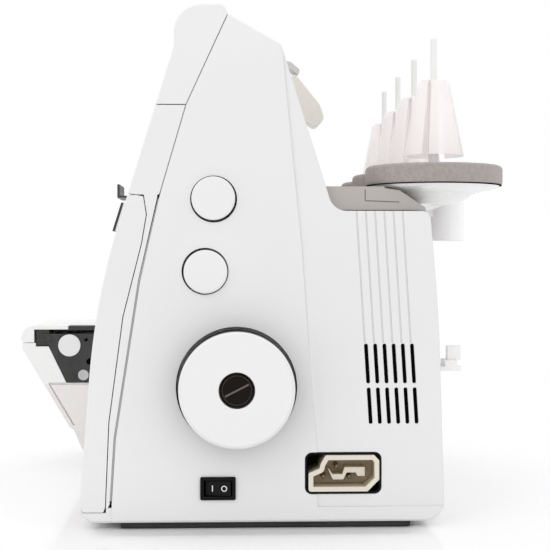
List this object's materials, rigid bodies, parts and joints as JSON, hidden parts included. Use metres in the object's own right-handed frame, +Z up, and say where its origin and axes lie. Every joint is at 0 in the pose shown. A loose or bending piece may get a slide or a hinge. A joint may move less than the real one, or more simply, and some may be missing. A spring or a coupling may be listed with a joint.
{
  "type": "serger overlock machine",
  "caption": "free-standing overlock sewing machine with a sloped casing, front looper door, side handwheel, cloth bed and a rear stand of thread spools",
  "frame": {"origin": "on the table, under the middle of the machine's outer box", "axes": "+Z up, +X towards the handwheel side, +Y towards the back"},
  "size_m": [0.335, 0.3088, 0.2938],
  "materials": {
    "right_cover": "right cover",
    "rear_cover": "rear cover",
    "left_cover": "left cover",
    "top_cover": "top cover",
    "front_panel": "front panel",
    "looper_door": "looper door",
    "base_pan": "base pan",
    "bed_housing": "bed housing",
    "cloth_plate": "cloth plate",
    "stitch_width_knob": "stitch width knob",
    "stitch_length_knob": "stitch length knob",
    "differential_knob": "differential knob",
    "handwheel": "handwheel",
    "spool_dishes": "spool dishes",
    "door_grip": "door grip",
    "bed_side_plate": "bed side plate",
    "needle_plate": "needle plate",
    "feed_dogs": "feed dogs",
    "lower_knife": "lower knife",
    "upper_knife": "upper knife",
    "upper_looper": "upper looper",
    "lower_looper": "lower looper",
    "needle_bar": "needle bar",
    "needles": "needles",
    "presser_bar": "presser bar",
    "presser_spring": "presser spring",
    "presser_ankle": "presser ankle",
    "presser_foot": "presser foot",
    "take_up_lever": "take up lever",
    "tension_posts": "tension posts",
    "thread_guides": "thread guides",
    "door_hinge_rod": "door hinge rod",
    "main_shaft": "main shaft",
    "motor_shaft": "motor shaft",
    "screws": "screws",
    "rear_thread_cutter": "rear thread cutter",
    "spool_pins": "spool pins",
    "inlet_pins": "inlet pins",
    "shaft_bushes": "shaft bushes",
    "presser_lever": "presser lever",
    "pressure_screw": "pressure screw",
    "spool_stand": "spool stand",
    "handwheel_hub_cap": "handwheel hub cap",
    "motor_body": "motor body",
    "drive_belt": "drive belt",
    "machine_frame": "machine frame",
    "switch_housing": "switch housing",
    "power_rocker": "power rocker",
    "inlet_bezel": "inlet bezel",
    "inlet_socket": "inlet socket",
    "foam_pads": "foam pads",
    "feet": "feet",
    "tension_dial_1": "tension dial 1",
    "spool_cone_1": "spool cone 1",
    "tension_dial_2": "tension dial 2",
    "spool_cone_2": "spool cone 2",
    "tension_dial_3": "tension dial 3",
    "spool_cone_3": "spool cone 3",
    "tension_dial_4": "tension dial 4",
    "spool_cone_4": "spool cone 4"
  },
  "bodies": {
    "casing": {"right_cover": "right_cover", "rear_cover": "rear_cover", "left_cover": "left_cover", "top_cover": "top_cover", "front_panel": "front_panel", "base_pan": "base_pan", "bed_housing": "bed_housing", "spool_dishes": "spool_dishes", "bed_side_plate": "bed_side_plate", "needle_plate": "needle_plate", "lower_knife": "lower_knife", "presser_spring": "presser_spring", "tension_posts": "tension_posts", "thread_guides": "thread_guides", "screws": "screws", "rear_thread_cutter": "rear_thread_cutter", "spool_pins": "spool_pins", "inlet_pins": "inlet_pins", "shaft_bushes": "shaft_bushes", "spool_stand": "spool_stand", "motor_body": "motor_body", "drive_belt": "drive_belt", "machine_frame": "machine_frame", "switch_housing": "switch_housing", "inlet_bezel": "inlet_bezel", "inlet_socket": "inlet_socket", "foam_pads": "foam_pads", "feet": "feet"},
    "spindle": {"handwheel": "handwheel", "handwheel_hub_cap": "handwheel_hub_cap", "main_shaft": "main_shaft"},
    "motor_rotor": {"motor_shaft": "motor_shaft"},
    "needle_drive": {"needle_bar": "needle_bar", "needles": "needles"},
    "knife_slide": {"upper_knife": "upper_knife"},
    "upper_looper_arm": {"upper_looper": "upper_looper"},
    "lower_looper_arm": {"lower_looper": "lower_looper"},
    "feed_bar": {"feed_dogs": "feed_dogs"},
    "take_up": {"take_up_lever": "take_up_lever"},
    "lifter": {"presser_lever": "presser_lever"},
    "presser": {"presser_bar": "presser_bar", "presser_ankle": "presser_ankle"},
    "foot": {"presser_foot": "presser_foot"},
    "door_rod": {"door_hinge_rod": "door_hinge_rod"},
    "door": {"looper_door": "looper_door", "door_grip": "door_grip"},
    "length_knob": {"stitch_length_knob": "stitch_length_knob"},
    "feed_knob": {"differential_knob": "differential_knob"},
    "width_knob": {"stitch_width_knob": "stitch_width_knob"},
    "pressure_knob": {"pressure_screw": "pressure_screw"},
    "rocker": {"power_rocker": "power_rocker"},
    "bed_cover": {"cloth_plate": "cloth_plate"},
    "dial_1": {"tension_dial_1": "tension_dial_1"},
    "cone_1": {"spool_cone_1": "spool_cone_1"},
    "dial_2": {"tension_dial_2": "tension_dial_2"},
    "cone_2": {"spool_cone_2": "spool_cone_2"},
    "dial_3": {"tension_dial_3": "tension_dial_3"},
    "cone_3": {"spool_cone_3": "spool_cone_3"},
    "dial_4": {"tension_dial_4": "tension_dial_4"},
    "cone_4": {"spool_cone_4": "spool_cone_4"}
  },
  "joints": [
    {"name": "handwheel_turn", "type": "hinge", "parent": "casing", "child": "spindle", "pos_m": [0.1, -0.0021, 0.0793], "axis": [1, 0, 0], "continuous": true},
    {"name": "motor_turn", "type": "hinge", "parent": "casing", "child": "motor_rotor", "pos_m": [0.1, 0.074, 0.062], "axis": [1, 0, 0], "continuous": true},
    {"name": "needle_bar_stroke", "type": "slide", "parent": "casing", "child": "needle_drive", "axis": [0, 0, 1], "range_m": [-0.026, 0]},
    {"name": "upper_knife_stroke", "type": "slide", "parent": "casing", "child": "knife_slide", "axis": [0, 0, 1], "range_m": [-0.012, 0]},
    {"name": "upper_looper_swing", "type": "hinge", "parent": "casing", "child": "upper_looper_arm", "pos_m": [-0.0685, -0.036, 0.04], "axis": [1, 0, 0], "range_deg": [0, 9]},
    {"name": "lower_looper_swing", "type": "hinge", "parent": "casing", "child": "lower_looper_arm", "pos_m": [-0.112, -0.026, 0.036], "axis": [0, 1, 0], "range_deg": [0, 12]},
    {"name": "feed_stroke", "type": "slide", "parent": "casing", "child": "feed_bar", "axis": [0, 1, 0], "range_m": [-0.0022, 0]},
    {"name": "take_up_swing", "type": "hinge", "parent": "casing", "child": "take_up", "pos_m": [-0.081, -0.03, 0.196], "axis": [1, 0, 0], "range_deg": [0, 12]},
    {"name": "presser_lever_lift", "type": "hinge", "parent": "casing", "child": "lifter", "pos_m": [-0.064, 0.018, 0.238], "axis": [1, 0, 0], "range_deg": [0, 12]},
    {"name": "presser_bar_lift", "type": "slide", "parent": "casing", "child": "presser", "axis": [0, 0, 1], "range_m": [0, 0.005], "deforming": ["presser_spring"]},
    {"name": "presser_foot_tilt", "type": "hinge", "parent": "presser", "child": "foot", "pos_m": [-0.1, -0.019, 0.114], "axis": [1, 0, 0], "range_deg": [-6, 0]},
    {"name": "looper_door_slide", "type": "slide", "parent": "casing", "child": "door_rod", "axis": [1, 0, 0], "range_m": [0, 0.008]},
    {"name": "looper_door_swing", "type": "hinge", "parent": "door_rod", "child": "door", "pos_m": [0.04, -0.0855, 0.0145], "axis": [1, 0, 0], "range_deg": [0, 80]},
    {"name": "stitch_length_turn", "type": "hinge", "parent": "casing", "child": "length_knob", "pos_m": [0.148, -0.0151, 0.1851], "axis": [1, 0, 0], "range_deg": [0, 270]},
    {"name": "differential_turn", "type": "hinge", "parent": "casing", "child": "feed_knob", "pos_m": [0.148, -0.01945, 0.14405], "axis": [1, 0, 0], "range_deg": [0, 240]},
    {"name": "stitch_width_turn", "type": "hinge", "parent": "casing", "child": "width_knob", "pos_m": [-0.0626, -0.1202, 0.0897], "axis": [1, 0, 0], "range_deg": [0, 270]},
    {"name": "pressure_screw_turn", "type": "hinge", "parent": "casing", "child": "pressure_knob", "pos_m": [-0.1, 0.006, 0.27], "axis": [0, 0, 1], "range_deg": [0, 350]},
    {"name": "power_rocker_press", "type": "hinge", "parent": "casing", "child": "rocker", "pos_m": [0.145, -0.01255, 0.02275], "axis": [0, 0, 1], "range_deg": [0, 10]},
    {"name": "cloth_plate_slide", "type": "slide", "parent": "casing", "child": "bed_cover", "axis": [-1, 0, 0], "range_m": [0, 0.014]},
    {"name": "tension_dial_1_turn", "type": "hinge", "parent": "casing", "child": "dial_1", "pos_m": [0.084, -0.037, 0.213], "axis": [1, 0, 0], "range_deg": [0, 300]},
    {"name": "tension_dial_2_turn", "type": "hinge", "parent": "casing", "child": "dial_2", "pos_m": [0.044, -0.037, 0.213], "axis": [1, 0, 0], "range_deg": [0, 300]},
    {"name": "tension_dial_3_turn", "type": "hinge", "parent": "casing", "child": "dial_3", "pos_m": [0.004, -0.037, 0.213], "axis": [1, 0, 0], "range_deg": [0, 300]},
    {"name": "tension_dial_4_turn", "type": "hinge", "parent": "casing", "child": "dial_4", "pos_m": [-0.036, -0.037, 0.213], "axis": [1, 0, 0], "range_deg": [0, 300]},
    {"name": "spool_cone_1_lift", "type": "slide", "parent": "casing", "child": "cone_1", "axis": [0, 0, 1], "range_m": [0, 0.07]},
    {"name": "spool_cone_2_lift", "type": "slide", "parent": "casing", "child": "cone_2", "axis": [0, 0, 1], "range_m": [0, 0.07]},
    {"name": "spool_cone_3_lift", "type": "slide", "parent": "casing", "child": "cone_3", "axis": [0, 0, 1], "range_m": [0, 0.07]},
    {"name": "spool_cone_4_lift", "type": "slide", "parent": "casing", "child": "cone_4", "axis": [0, 0, 1], "range_m": [0, 0.07]}
  ],
  "couplings": [
    {"joint": "motor_turn", "follows": "handwheel_turn", "ratio": 3.7},
    {"joint": "upper_knife_stroke", "follows": "needle_bar_stroke", "ratio": 0.4615},
    {"joint": "upper_looper_swing", "follows": "needle_bar_stroke", "rad_per_m": -6.0415},
    {"joint": "lower_looper_swing", "follows": "needle_bar_stroke", "rad_per_m": -8.0554},
    {"joint": "feed_stroke", "follows": "needle_bar_stroke", "ratio": 0.0846},
    {"joint": "take_up_swing", "follows": "needle_bar_stroke", "rad_per_m": -8.0554},
    {"joint": "presser_bar_lift", "follows": "presser_lever_lift", "m_per_rad": 0.02387}
  ]
}
